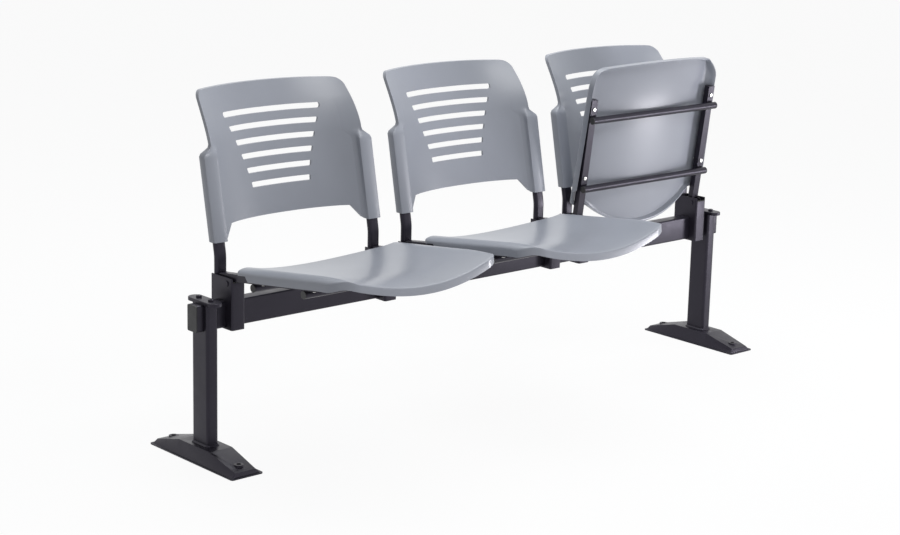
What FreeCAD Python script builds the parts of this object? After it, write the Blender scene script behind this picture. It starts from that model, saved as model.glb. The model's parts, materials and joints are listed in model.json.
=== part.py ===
import FreeCAD, Part
import math
import os

from FreeCAD import Vector

# Beam seating: three tip-up seats on one steel beam carried by two legs.
# Frame: origin on the floor in the middle of the row, +X along the row,
# -Y towards the people who sit down, +Z up. All lengths are millimetres.

# The row
SEAT_PITCH = 540.0
SEAT_NAMES = ["left", "middle", "right"]
TIPPED_SEATS = ["right"]
LEG_X = 820.0

# Beam: a rectangular tube closed by plastic end caps
BEAM_DEPTH = 34.0
BEAM_HEIGHT = 60.0
BEAM_WALL = 2.5
BEAM_CORNER = 4.0
BEAM_BOTTOM = 299.0
BEAM_OVERHANG = 32.0
END_CAP_FLANGE = 3.0
END_CAP_PLUG = 18.0
END_CAP_WALL = 2.0
SLIDING_GAP = 0.15
FLAT_END = 0.01

# Leg: a flat column welded to a pressed foot
COLUMN_DEPTH = 60.0
COLUMN_WIDTH = 30.0
COLUMN_WALL = 2.5
COLUMN_CORNER = 7.0
WELD_SIZE = 4.0
FOOT_HALF_WIDTH = 42.5
FOOT_HALF_LENGTH = 160.0
FOOT_RIM = 3.0
FOOT_SHEET = 3.0
FOOT_CORNER = 6.0
FOOT_NOSE_FLARE = 6.0
WELD_CHAMFER = 3.2
RIDGE_HALF_WIDTH = 27.0
RIDGE_HALF_LENGTH = 151.0
RIDGE_HEIGHT = 12.0
PLATEAU_HALF_WIDTH = 31.0
PLATEAU_HALF_LENGTH = 58.0
PLATEAU_HEIGHT = 36.0
FLOOR_BOLT_Y = 126.0
FLOOR_BOLT_RADIUS = 5.5
FLOOR_BOSS_RADIUS = 11.0
FLOOR_BOSS_HEIGHT = 21.0

# Clamp on top of each leg
CLAMP_LENGTH = 104.0
CLAMP_WIDTH = 34.0
CLAMP_THICKNESS = 8.0
CLAMP_EDGE = 1.5
CLAMP_BOLT_Y = 23.0
CLAMP_BOLT_RADIUS = 3.0
CLAMP_HOLE_RADIUS = 3.3
CLAMP_BOLT_LENGTH = 34.0
BOLT_HEAD_RADIUS = 6.5
BOLT_HEAD_HEIGHT = 5.0
SOCKET_RADIUS = 2.6
SOCKET_DEPTH = 2.5
INSERT_HEIGHT = 30.0
HEAD_ROUNDING = 0.35
SOCKET_SHARE = 0.6

# Seat bracket: a folded channel, open at the top and the back, round the beam
BRACKET_X = 219.0
BRACKET_WIDTH = 36.0
BRACKET_WALL = 3.0
BRACKET_FRONT = -41.0
BRACKET_BACK = 36.0
BRACKET_TOP = 413.0
BRACKET_CORNER = 5.0
FRONT_PLATE_TOP = 403.5
BUFFER_HEIGHT = 2.4
BUFFER_OVERLAP = 5.0
BUFFER_WALL = 1.6
REST_GAP = 0.3
HEEL_PAD_Y = -3.0
HEEL_PAD_HALF_DEPTH = 12.0

# Hinge of the seat
PIVOT_Y = -21.0
PIVOT_Z = 400.0
PIN_RADIUS = 4.0
PIN_HEAD_RADIUS = 6.5
PIN_HEAD_HEIGHT = 2.0
RUNNING_GAP = 0.05
BUSH_WALL = 1.5
BUSH_FLANGE_RADIUS = 8.0
BUSH_FLANGE = 4.0
SEAT_INCLINE = 7.2
TIP_TRAVEL = 75.5

# Seat rails: rectangular tubes with round ears at the pivot
RAIL_WIDTH = 21.0
RAIL_BOTTOM = 4.0
RAIL_TOP = 21.0
RAIL_WALL = 2.5
RAIL_HEEL = 37.5
HEEL_CLEARANCE = 1.0
RAIL_REACH = 318.0
RAIL_ROOM = 0.6
EAR_RADIUS = 11.0

# Cross bars under the rails
BAR_RADIUS = 9.0
BAR_WALL = 1.5
BAR_HALF_LENGTH = 229.0
REAR_BAR_REACH = 88.0
FRONT_BAR_REACH = 268.0
BAR_CAP_FLANGE = 2.0
BAR_CAP_PLUG = 12.0
SCREW_REACHES = [REAR_BAR_REACH + 26.0, FRONT_BAR_REACH + 26.0]
SCREW_RADIUS = 2.4
SCREW_HEAD_RADIUS = 5.0
SCREW_HEAD_HEIGHT = 2.6

# Seat shell, measured forwards from the pivot and up from it
SEAT_HALF_WIDTH = 240.0
SEAT_FRONT_HALF_WIDTH = 228.0
SEAT_FRONT_REACH = 410.0
SEAT_FRONT_BOW = 20.0
SEAT_FRONT_CORNER = 46.0
SEAT_SHOULDER_REACH = 39.0
SEAT_SHOULDER_CORNER = 14.0
SEAT_LOBE_REACH = -27.0
SEAT_LOBE_HALF_WIDTH = 190.0
SEAT_SHEET = 5.0
SKIRT_DEPTH = 18.0
SKIRT_WALL = 4.5
DISH_HEIGHT = 10.5
SIDE_RISE = 34.0
SIDE_RISE_POWER = 2.0
SIDE_ROLL_WIDTH = 40.0
REAR_ROLL = 17.0
REAR_ROLL_REACH = 39.0
FRONT_ROLL = 29.0
FRONT_ROLL_REACH = 318.0
FRONT_DROP = 17.3
FRONT_DROP_REACH = 290.0
SIDE_DROP_SHARE = 0.4
BOSS_LENGTH = 30.0
SEAT_CUT_RANGE = (-60.0, 80.0)
SHEET_OVERLAP = 6.0
SHEET_COLUMNS = 21
SHEET_ROWS = 13

# Back uprights: flat oval tubes that stand behind the beam
UPRIGHT_WIDTH = 29.6
UPRIGHT_DEPTH = 15.0
UPRIGHT_WALL = 2.0
UPRIGHT_Y = 28.0
UPRIGHT_BOTTOM = 302.0
UPRIGHT_BEND_Z = 452.0
UPRIGHT_BEND_RADIUS = 90.0
UPRIGHT_TOP = 655.0
BACK_LEAN = 11.6
UPRIGHT_BOLT_HEIGHTS = [314.0, 344.0]
UPRIGHT_BOLT_RADIUS = 4.0
UPRIGHT_HOLE_RADIUS = 4.2

# Back shell
SLEEVE_WIDTH = 38.0
SLEEVE_DEPTH = 23.0
SLEEVE_CORNER = 4.0
SLEEVE_BOTTOM = 482.0
SLEEVE_SHOULDER = 670.0
SLEEVE_TOP = 688.0
SLEEVE_GAP = 0.1
SLEEVE_TOP_ROOM = 2.5
BACK_SHEET = 5.0
BACK_TOP = 806.5
BACK_TOP_RISE = 4.0
BACK_SHOULDER_HALF_WIDTH = 213.0
BACK_SIDE_HALF_WIDTH = 211.5
BACK_SIDE_Z = 742.0
BACK_TOP_HALF_WIDTH = 203.0
BACK_CORNER_RADIUS = 17.0
BACK_LOWER_EDGE = 515.0
BACK_ARCH_HALF_WIDTH = 172.0
BACK_ARCH_FILLET = 16.0
BACK_LOBE_HALF_WIDTH = 195.0
BACK_LOBE_RISE = 2.0
BACK_CUT_RANGE = (-50.0, 350.0)
BACK_CENTRE_Y = 101.0
BACK_CENTRE_Z = 590.0
BACK_CENTRE_SLOPE = 0.29
BACK_CENTRE_CURVE = 0.00025
BACK_HOLLOW_POWER = 2.4
BACK_WING_Z = 690.0
BACK_WING_CURL = 46.0
BACK_WING_POWER = 1.6
FLANGE_DEPTH = 11.0
FLANGE_WALL = 4.0
SLOT_HEIGHT = 12.5
SLOT_PITCH = 31.8
SLOT_TOP_Z = 743.0
SLOT_CORNER = 3.0
SLOT_HALF_WIDTHS = [137.0, 124.0, 111.0, 100.0, 90.0, 83.0]
BACK_SCREW_HEIGHTS = [520.0, 635.0]
BACK_SCREW_RADIUS = 2.2

# Values that follow from the ones above
BEAM_TOP = BEAM_BOTTOM + BEAM_HEIGHT
BEAM_HALF_LENGTH = LEG_X + BEAM_OVERHANG
TIPPED_ANGLE = SEAT_INCLINE + TIP_TRAVEL
CLAMP_TOP = BEAM_TOP + CLAMP_THICKNESS
LEAN = math.tan(math.radians(BACK_LEAN))
HEEL_SWEEP = UPRIGHT_Y - UPRIGHT_DEPTH / 2 - PIVOT_Y - HEEL_CLEARANCE
BUSH_RADIUS = PIN_RADIUS + RUNNING_GAP + BUSH_WALL
SEAT_CENTRES = [(index - 1) * SEAT_PITCH for index in range(3)]
SIDES = {"left": -1, "right": 1}
LEGS = {"left": -LEG_X, "right": LEG_X}

X_AXIS = Vector(1, 0, 0)
Y_AXIS = Vector(0, 1, 0)
LEAN_NORMAL = Vector(0, math.cos(math.radians(BACK_LEAN)), -math.sin(math.radians(BACK_LEAN)))

nodes = {}


def box(x_range, y_range, z_range):
    size = [high - low for low, high in (x_range, y_range, z_range)]
    return Part.makeBox(*size, Vector(x_range[0], y_range[0], z_range[0]))


def around(middle, half):
    return (middle - half, middle + half)


def rod(radius, start, end):
    """A round bar between two points."""
    start, end = Vector(*start), Vector(*end)
    run = end - start
    return Part.makeCylinder(radius, run.Length, start, run)


def union(pieces):
    first = pieces[0]
    return first.fuse(pieces[1:]).removeSplitter() if len(pieces) > 1 else first


def rounded_rectangle(width, depth, radius):
    """A closed wire in the XY plane round the origin."""
    x, y, r = width / 2, depth / 2, radius
    diagonal = r * (1 - math.sqrt(0.5))
    corners = []
    for sx, sy in ((1, 1), (-1, 1), (-1, -1), (1, -1)):
        on_x = Vector(sx * (x - r), sy * y, 0)
        on_y = Vector(sx * x, sy * (y - r), 0)
        middle = Vector(sx * (x - diagonal), sy * (y - diagonal), 0)
        corners.append((on_y, middle, on_x) if sx == sy else (on_x, middle, on_y))
    wire = []
    for index, (start, middle, end) in enumerate(corners):
        following = corners[(index + 1) % 4][0]
        wire.append(Part.Arc(start, middle, end).toShape())
        wire.append(Part.LineSegment(end, following).toShape())
    return Part.Wire(wire)


def prism(wire, height):
    return Part.Face(wire).extrude(Vector(0, 0, height))


def tube(width, depth, radius, wall, length):
    """A rounded rectangular tube standing on the XY plane."""
    outside = prism(rounded_rectangle(width, depth, radius), length)
    inner_radius = max(radius - wall, 0.2)
    bore = prism(rounded_rectangle(width - 2 * wall, depth - 2 * wall, inner_radius), length)
    return outside.cut(bore)


def lie_along_x(shape, start_x, y, z):
    """Turn a shape built up from the XY plane so that it runs along +X."""
    turned = shape.copy()
    turned.rotate(Vector(0, 0, 0), Y_AXIS, 90)
    turned.translate(Vector(start_x, y, z))
    return turned


def cap_screw(radius, length, head_radius, head_height, socket_radius, socket_depth):
    """A round-headed screw along Z: the head sits on the XY plane."""
    screw = union([
        Part.makeCylinder(radius, length, Vector(0, 0, -length)),
        Part.makeCylinder(head_radius, head_height),
    ])
    screw = screw.makeFillet(head_height * HEAD_ROUNDING, [top_rim(screw)])
    return screw.cut(Part.makeCylinder(socket_radius, socket_depth,
                                       Vector(0, 0, head_height - socket_depth)))


def top_rim(shape):
    """The round edge that lies highest."""
    return max(shape.Edges, key=lambda edge: (edge.BoundBox.ZMin, edge.Length))


def mirrored(shape):
    return shape.mirror(Vector(0, 0, 0), X_AXIS)


def moved(shape, x, y=0.0, z=0.0):
    copy = shape.copy()
    copy.translate(Vector(x, y, z))
    return copy


# Beam and its end caps

def make_beam():
    profile = tube(BEAM_HEIGHT, BEAM_DEPTH, BEAM_CORNER, BEAM_WALL, 2 * BEAM_HALF_LENGTH)
    beam = lie_along_x(profile, -BEAM_HALF_LENGTH, 0, BEAM_BOTTOM + BEAM_HEIGHT / 2)
    holes = [rod(UPRIGHT_HOLE_RADIUS, (x, 0, z), (x, BEAM_DEPTH, z))
             for x in upright_places() for z in UPRIGHT_BOLT_HEIGHTS]
    return beam.cut(holes)


def make_end_caps():
    middle = BEAM_BOTTOM + BEAM_HEIGHT / 2
    flange = prism(rounded_rectangle(BEAM_HEIGHT, BEAM_DEPTH, BEAM_CORNER), END_CAP_FLANGE)
    inside = 2 * (BEAM_WALL + SLIDING_GAP)
    plug = tube(BEAM_HEIGHT - inside, BEAM_DEPTH - inside, BEAM_CORNER - BEAM_WALL / 2,
                END_CAP_WALL, END_CAP_PLUG)
    plug.translate(Vector(0, 0, -END_CAP_PLUG))
    right = lie_along_x(union([flange, plug]), BEAM_HALF_LENGTH, 0, middle)
    return Part.makeCompound([right, mirrored(right)])


# Legs

def foot_section(y, foot_half_width, bottom, ridge_half_width, top):
    corners = [(-foot_half_width, bottom), (foot_half_width, bottom),
               (ridge_half_width, top), (-ridge_half_width, top)]
    points = [Vector(x, y, z) for x, z in corners]
    return Part.makePolygon(points + points[:1])


def foot_hill(inset):
    """The hipped hill of the foot, drawn in by the sheet where it is the hollow."""
    low = FOOT_RIM - inset
    end = RIDGE_HALF_LENGTH + (FOOT_HALF_LENGTH - RIDGE_HALF_LENGTH) / 2
    half_width = FOOT_HALF_WIDTH - FOOT_SHEET - inset
    stations = [
        (end - inset, half_width, RIDGE_HALF_WIDTH + FOOT_NOSE_FLARE - inset, low + 1.0),
        (RIDGE_HALF_LENGTH - inset, half_width, RIDGE_HALF_WIDTH - inset, RIDGE_HEIGHT - inset),
        (PLATEAU_HALF_LENGTH, half_width, PLATEAU_HALF_WIDTH - inset, PLATEAU_HEIGHT - inset),
    ]
    halves = [(y, w, ridge, top) for y, w, ridge, top in stations]
    rows = halves + [(-y, w, ridge, top) for y, w, ridge, top in reversed(halves)]
    wires = [foot_section(y, w, low - 1.0, ridge, top) for y, w, ridge, top in rows]
    return Part.makeLoft(wires, True, True)


def make_foot(x):
    rim = box(around(0, FOOT_HALF_WIDTH), around(0, FOOT_HALF_LENGTH), (0, FOOT_RIM))
    upright_edges = [edge for edge in rim.Edges if abs(edge.tangentAt(edge.FirstParameter).z) > 0.9]
    rim = rim.makeFillet(FOOT_CORNER, upright_edges)
    hollow = foot_hill(FOOT_SHEET)
    window = box(around(0, FOOT_HALF_WIDTH - 2 * FOOT_SHEET),
                 around(0, RIDGE_HALF_LENGTH - FOOT_SHEET), (-1, FOOT_RIM + 1))
    foot = union([rim, foot_hill(0.0)]).cut([hollow, window])
    bosses = [rod(FLOOR_BOSS_RADIUS, (0, side * FLOOR_BOLT_Y, 0),
                  (0, side * FLOOR_BOLT_Y, FLOOR_BOSS_HEIGHT)) for side in (-1, 1)]
    holes = [rod(FLOOR_BOLT_RADIUS, (0, side * FLOOR_BOLT_Y, -1),
                 (0, side * FLOOR_BOLT_Y, FLOOR_BOSS_HEIGHT + 1)) for side in (-1, 1)]
    return moved(union([foot] + bosses).cut(holes), x)


def make_column(x):
    length = BEAM_TOP - PLATEAU_HEIGHT
    post = tube(COLUMN_WIDTH, COLUMN_DEPTH, COLUMN_CORNER, COLUMN_WALL, length)
    collar = prism(rounded_rectangle(COLUMN_WIDTH + 2 * WELD_SIZE, COLUMN_DEPTH + 2 * WELD_SIZE,
                                     COLUMN_CORNER + WELD_SIZE), WELD_SIZE)
    collar = collar.makeChamfer(WELD_CHAMFER, top_edges(collar))
    bore = prism(rounded_rectangle(COLUMN_WIDTH - 2 * COLUMN_WALL, COLUMN_DEPTH - 2 * COLUMN_WALL,
                                   COLUMN_CORNER - COLUMN_WALL), WELD_SIZE)
    column = union([post, collar.cut(bore)])
    column.translate(Vector(x, 0, PLATEAU_HEIGHT))
    saddle = box(around(x, COLUMN_WIDTH), around(0, BEAM_DEPTH / 2 + SLIDING_GAP),
                 (BEAM_BOTTOM, BEAM_TOP + 1))
    return column.cut(saddle)


def top_edges(shape):
    high = shape.BoundBox.ZMax
    return [edge for edge in shape.Edges if edge.BoundBox.ZMin > high - 1e-3]


def make_clamp_plate(x):
    plate = prism(rounded_rectangle(CLAMP_WIDTH, CLAMP_LENGTH, CLAMP_WIDTH / 2 - FLAT_END),
                  CLAMP_THICKNESS)
    plate = plate.makeFillet(CLAMP_EDGE, top_edges(plate))
    plate.translate(Vector(x, 0, BEAM_TOP))
    holes = [rod(CLAMP_HOLE_RADIUS, (x, side * CLAMP_BOLT_Y, BEAM_TOP - 1),
                 (x, side * CLAMP_BOLT_Y, CLAMP_TOP + 1)) for side in (-1, 1)]
    return plate.cut(holes)


def make_clamp_bolts(x):
    bolt = cap_screw(CLAMP_BOLT_RADIUS, CLAMP_BOLT_LENGTH, BOLT_HEAD_RADIUS, BOLT_HEAD_HEIGHT,
                     SOCKET_RADIUS, SOCKET_DEPTH)
    return Part.makeCompound([moved(bolt, x, side * CLAMP_BOLT_Y, CLAMP_TOP) for side in (-1, 1)])


def make_clamp_inserts(x):
    """Threaded blocks in the two pockets beside the beam, level with the column's top."""
    inner = BEAM_DEPTH / 2 + SLIDING_GAP
    outer = COLUMN_DEPTH / 2 - COLUMN_WALL - SLIDING_GAP
    half_width = COLUMN_WIDTH / 2 - COLUMN_WALL - SLIDING_GAP
    corner = COLUMN_CORNER - COLUMN_WALL - SLIDING_GAP
    solid = prism(rounded_rectangle(2 * half_width, 2 * outer, corner), INSERT_HEIGHT)
    solid.translate(Vector(0, 0, BEAM_TOP - INSERT_HEIGHT))
    blocks = []
    for side in (-1, 1):
        y_range = sorted((side * inner, side * outer))
        block = solid.common(box(around(0, half_width), y_range, (BEAM_BOTTOM, BEAM_TOP)))
        bore = rod(CLAMP_BOLT_RADIUS, (0, side * CLAMP_BOLT_Y, BEAM_BOTTOM),
                   (0, side * CLAMP_BOLT_Y, BEAM_TOP + 1))
        blocks.append(moved(block.cut(bore), x))
    return Part.makeCompound(blocks)


# Brackets, buffers and pivot pins

def make_bracket():
    """One bracket round the middle of its own seat place at X = 0."""
    half = BRACKET_WIDTH / 2
    inner = half - BRACKET_WALL
    floor = BEAM_BOTTOM - BRACKET_WALL
    outside = box(around(0, half), (BRACKET_FRONT, BRACKET_BACK), (floor, BRACKET_TOP))
    front_edges = [edge for edge in outside.Edges
                   if edge.BoundBox.YMax < BRACKET_FRONT + 1e-3 and edge.BoundBox.ZLength > 1]
    outside = outside.makeFillet(BRACKET_CORNER, front_edges)
    room = box(around(0, inner), (BRACKET_FRONT + BRACKET_WALL, BRACKET_BACK + 1),
               (BEAM_BOTTOM, BRACKET_TOP + 1))
    above_front = box(around(0, inner), (BRACKET_FRONT - 1, BRACKET_FRONT + BRACKET_WALL + 1),
                      (FRONT_PLATE_TOP, BRACKET_TOP + 1))
    window = box(around(0, half + 1), around(0, BEAM_DEPTH / 2 + SLIDING_GAP),
                 (BEAM_BOTTOM, BEAM_TOP + SLIDING_GAP))
    pivot_hole = rod(PIN_RADIUS + RUNNING_GAP, (-half - 1, PIVOT_Y, PIVOT_Z),
                     (half + 1, PIVOT_Y, PIVOT_Z))
    return outside.cut([room, above_front, window, pivot_hole])


def make_buffers():
    """A rubber strip that hooks over the front plate, and a pad on the beam for the rail's heel."""
    half = BRACKET_WIDTH / 2 - BRACKET_WALL - SLIDING_GAP
    plate = (BRACKET_FRONT, BRACKET_FRONT + BRACKET_WALL)
    strip = box(around(0, half), (plate[0], plate[1] + BUFFER_WALL),
                (FRONT_PLATE_TOP, FRONT_PLATE_TOP + BUFFER_HEIGHT))
    hook = box(around(0, half), (plate[1], plate[1] + BUFFER_WALL),
               (FRONT_PLATE_TOP - BUFFER_OVERLAP, FRONT_PLATE_TOP))
    slope = box(around(0, half + 1), (plate[0] - 30, plate[1] + 30), (0, 20))
    slope.rotate(Vector(0, 0, 0), X_AXIS, -SEAT_INCLINE)
    slope.translate(Vector(0, PIVOT_Y, PIVOT_Z) + seat_up(RAIL_BOTTOM - REST_GAP))
    pad = box(around(0, half), around(HEEL_PAD_Y, HEEL_PAD_HALF_DEPTH),
              (BEAM_TOP, tipped_heel_height() - REST_GAP))
    return [union([strip, hook]).cut(slope), pad]


def tipped_heel_height():
    """World height of the lowest corner of a rail's heel when the seat is tipped up."""
    angle = math.radians(TIPPED_ANGLE)
    return PIVOT_Z - RAIL_HEEL * math.sin(angle) + RAIL_BOTTOM * math.cos(angle)


def seat_up(height):
    """The world step from the pivot for a height above it in the seat's own frame."""
    incline = math.radians(SEAT_INCLINE)
    return Vector(0, height * math.sin(incline), height * math.cos(incline))


def make_pivot_pin():
    half = BRACKET_WIDTH / 2
    shank = rod(PIN_RADIUS, (-half, PIVOT_Y, PIVOT_Z), (half, PIVOT_Y, PIVOT_Z))
    heads = []
    for side in (-1, 1):
        head = rod(PIN_HEAD_RADIUS, (side * half, PIVOT_Y, PIVOT_Z),
                   (side * (half + PIN_HEAD_HEIGHT), PIVOT_Y, PIVOT_Z))
        heads.append(head)
    return union([shank] + heads)


# Seat frame, drawn flat with the pivot at the origin, forwards along -Y

def make_rail():
    half = RAIL_WIDTH / 2
    outside = box(around(0, half), (-RAIL_REACH, RAIL_HEEL), (RAIL_BOTTOM, RAIL_TOP))
    top = [edge for edge in outside.Edges
           if edge.BoundBox.ZMin > RAIL_TOP - 1e-3 and edge.BoundBox.YLength > 1]
    outside = outside.makeFillet(RAIL_WALL, top)
    heel_limit = rod(HEEL_SWEEP, (-half, 0, 0), (half, 0, 0))
    before_heel = box(around(0, half), (-RAIL_REACH, 0), (RAIL_BOTTOM, RAIL_TOP))
    outside = outside.common(union([heel_limit, before_heel]))
    ears = rod(EAR_RADIUS, (-half, 0, 0), (half, 0, 0))
    ears = union([ears, box(around(0, half), around(0, EAR_RADIUS), (0, RAIL_BOTTOM + 1))])
    inner = half - RAIL_WALL
    bore_end = math.sqrt(HEEL_SWEEP ** 2 - RAIL_TOP ** 2) - RAIL_WALL
    bore = box(around(0, inner), (-RAIL_REACH + RAIL_WALL, bore_end),
               (RAIL_BOTTOM + RAIL_WALL, RAIL_TOP - RAIL_WALL))
    between_ears = box(around(0, inner), around(0, EAR_RADIUS), (-EAR_RADIUS, RAIL_TOP - RAIL_WALL))
    bush_hole = rod(BUSH_RADIUS, (-half - 1, 0, 0), (half + 1, 0, 0))
    screw_holes = [rod(SCREW_RADIUS, (0, -reach, RAIL_BOTTOM - 1), (0, -reach, RAIL_TOP + 1))
                   for reach in SCREW_REACHES]
    return union([outside, ears]).cut([bore, between_ears, bush_hole] + screw_holes)


def make_bushes():
    """Flanged plastic bushes in the ears of one rail."""
    half = RAIL_WIDTH / 2
    bushes = []
    for side in (-1, 1):
        sleeve = rod(BUSH_RADIUS, (side * (half - RAIL_WALL), 0, 0), (side * half, 0, 0))
        flange = rod(BUSH_FLANGE_RADIUS, (side * half, 0, 0), (side * (half + BUSH_FLANGE), 0, 0))
        bore = rod(PIN_RADIUS + RUNNING_GAP, (-BRACKET_WIDTH, 0, 0), (BRACKET_WIDTH, 0, 0))
        bushes.append(union([sleeve, flange]).cut(bore))
    return bushes


def bar_height():
    """The bars are welded tight under the rails."""
    return RAIL_BOTTOM - BAR_RADIUS


def make_bar(reach):
    z = bar_height()
    start, end = (-BAR_HALF_LENGTH, -reach, z), (BAR_HALF_LENGTH, -reach, z)
    return rod(BAR_RADIUS, start, end).cut(rod(BAR_RADIUS - BAR_WALL, start, end))


def make_bar_caps():
    caps = []
    for reach in (REAR_BAR_REACH, FRONT_BAR_REACH):
        z = bar_height()
        for side in (-1, 1):
            end = side * BAR_HALF_LENGTH
            flange = rod(BAR_RADIUS, (end, -reach, z), (end + side * BAR_CAP_FLANGE, -reach, z))
            plug = rod(BAR_RADIUS - BAR_WALL, (end - side * BAR_CAP_PLUG, -reach, z),
                       (end, -reach, z))
            caps.append(union([flange, plug]))
    return Part.makeCompound(caps)


def make_seat_screws():
    """Screws from below, through both walls of a rail and into the boss above it."""
    screws = []
    for side in (-1, 1):
        for reach in SCREW_REACHES:
            length = RAIL_TOP - RAIL_BOTTOM + boss_thickness(side * BRACKET_X, reach)
            screw = cap_screw(SCREW_RADIUS, length, SCREW_HEAD_RADIUS, SCREW_HEAD_HEIGHT,
                              SCREW_RADIUS * SOCKET_SHARE, SCREW_HEAD_HEIGHT * SOCKET_SHARE)
            screw.rotate(Vector(0, 0, 0), X_AXIS, 180)
            screws.append(moved(screw, side * BRACKET_X, -reach, RAIL_BOTTOM))
    return Part.makeCompound(screws)


def boss_thickness(x, reach):
    """How far a screw goes into the boss without showing on the seat."""
    return seat_height(x, reach) - RAIL_TOP - SEAT_SHEET / 2


# Seat shell

def seat_height(x, reach):
    """Height of the seat's upper face above the pivot."""
    across = abs(x) / SEAT_HALF_WIDTH
    drop_run = (reach - FRONT_DROP_REACH) / (SEAT_FRONT_REACH - FRONT_DROP_REACH)
    drop = FRONT_DROP * max(drop_run, 0.0) ** 2 * (1 - (1 - SIDE_DROP_SHARE) * across ** 2)
    rise = SIDE_RISE * across ** SIDE_RISE_POWER
    roll_share = max(reach - REAR_ROLL_REACH, 0.0) / (FRONT_ROLL_REACH - REAR_ROLL_REACH)
    roll_depth = REAR_ROLL + (FRONT_ROLL - REAR_ROLL) * roll_share
    roll_run = (abs(x) - (SEAT_HALF_WIDTH - SIDE_ROLL_WIDTH)) / SIDE_ROLL_WIDTH
    roll = roll_depth * max(roll_run, 0.0) ** 2
    return DISH_HEIGHT + rise - roll - drop


def spread(half_width, count):
    """Places across a sheet, closer together towards its two sides."""
    turns = [math.pi * (index / (count - 1) - 0.5) for index in range(count)]
    return [half_width * math.sin(turn) for turn in turns]


def even(low, high, count):
    return [low + (high - low) * index / (count - 1) for index in range(count)]


def slab(stations, across, point, thickness):
    """A curved sheet through rows of points: point(x, station, offset) gives each one."""
    wires = []
    for station in stations:
        front = Part.BSplineCurve()
        front.interpolate([point(x, station, 0.0) for x in across])
        back = Part.BSplineCurve()
        back.interpolate([point(x, station, thickness) for x in reversed(across)])
        ends = [
            Part.LineSegment(front.EndPoint, back.StartPoint),
            Part.LineSegment(back.EndPoint, front.StartPoint),
        ]
        wires.append(Part.Wire([front.toShape(), ends[0].toShape(),
                                back.toShape(), ends[1].toShape()]))
    return Part.makeLoft(wires, True, False)


def bowed_outline(inset):
    """The seat's outline from above as a tall prism, drawn in by an inset."""
    low, high = SEAT_CUT_RANGE
    front, side = SEAT_FRONT_REACH - inset, SEAT_HALF_WIDTH - inset
    front_half = SEAT_FRONT_HALF_WIDTH - inset
    shoulder = SEAT_SHOULDER_REACH + inset
    lobe_radius = arc_radius(SEAT_LOBE_HALF_WIDTH, SEAT_SHOULDER_REACH - SEAT_LOBE_REACH) - inset
    lobe_depth = SEAT_SHOULDER_REACH - SEAT_LOBE_REACH
    lobe_half = math.sqrt(lobe_radius ** 2 - (lobe_radius - lobe_depth) ** 2)

    def at(x, reach):
        return Vector(x, -reach, low)

    outline = [at(side, shoulder), at(front_half, front - SEAT_FRONT_BOW),
               at(-front_half, front - SEAT_FRONT_BOW), at(-side, shoulder),
               at(-lobe_half, shoulder), at(lobe_half, shoulder)]
    edges = [
        Part.LineSegment(outline[0], outline[1]).toShape(),
        Part.Arc(outline[1], at(0, front), outline[2]).toShape(),
        Part.LineSegment(outline[2], outline[3]).toShape(),
        Part.LineSegment(outline[3], outline[4]).toShape(),
        Part.Arc(outline[4], at(0, SEAT_LOBE_REACH + inset), outline[5]).toShape(),
        Part.LineSegment(outline[5], outline[0]).toShape(),
    ]
    block = prism(Part.Wire(edges), high - low)
    for radius, corner in ((SEAT_FRONT_CORNER - inset, outline[1]),
                           (SEAT_SHOULDER_CORNER - inset, outline[0])):
        near = [edge for edge in block.Edges if edge.BoundBox.ZLength > 1
                and abs(edge.BoundBox.YMin - corner.y) < 1e-3
                and abs(abs(edge.BoundBox.XMin) - corner.x) < 1e-3]
        block = block.makeFillet(radius, near)
    return block


def arc_radius(half_chord, depth):
    return (half_chord ** 2 + depth ** 2) / (2 * depth)


def make_seat_shell():
    across = spread(SEAT_HALF_WIDTH + SHEET_OVERLAP, SHEET_COLUMNS)
    stations = even(SEAT_LOBE_REACH - SHEET_OVERLAP, SEAT_FRONT_REACH + SHEET_OVERLAP, SHEET_ROWS)

    def point(x, reach, offset):
        return Vector(x, -reach, seat_height(x, reach) - offset)

    outline = bowed_outline(0.0)
    sheet = slab(stations, across, point, SEAT_SHEET).common(outline)
    skirt = slab(stations, across, point, SKIRT_DEPTH).common(outline.cut(bowed_outline(SKIRT_WALL)))
    bosses = [box(around(side * BRACKET_X, RAIL_WIDTH / 2), around(-reach, BOSS_LENGTH / 2),
                  (RAIL_TOP, seat_height(side * (BRACKET_X - RAIL_WIDTH / 2), reach) - SEAT_SHEET / 2))
              for side in (-1, 1) for reach in SCREW_REACHES]
    rail_rooms = [box(around(side * BRACKET_X, RAIL_WIDTH / 2 + RAIL_ROOM),
                      (-RAIL_REACH - RAIL_ROOM, RAIL_HEEL), (0, RAIL_TOP + RAIL_ROOM))
                  for side in (-1, 1)]
    shell = union([union([sheet, skirt]).cut(rail_rooms)] + bosses)
    holes = [rod(SCREW_RADIUS, (side * BRACKET_X, -reach, RAIL_TOP - 1),
                 (side * BRACKET_X, -reach, RAIL_TOP + boss_thickness(side * BRACKET_X, reach)))
             for side in (-1, 1) for reach in SCREW_REACHES]
    return shell.cut(holes)


# Back uprights and back shell

def upright_places():
    return [centre + side * BRACKET_X for centre in SEAT_CENTRES for side in (-1, 1)]


def lean_y(z):
    """Y of the middle of the leaning part of an upright at a height."""
    return UPRIGHT_Y + (z - UPRIGHT_BEND_Z) * LEAN


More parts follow.
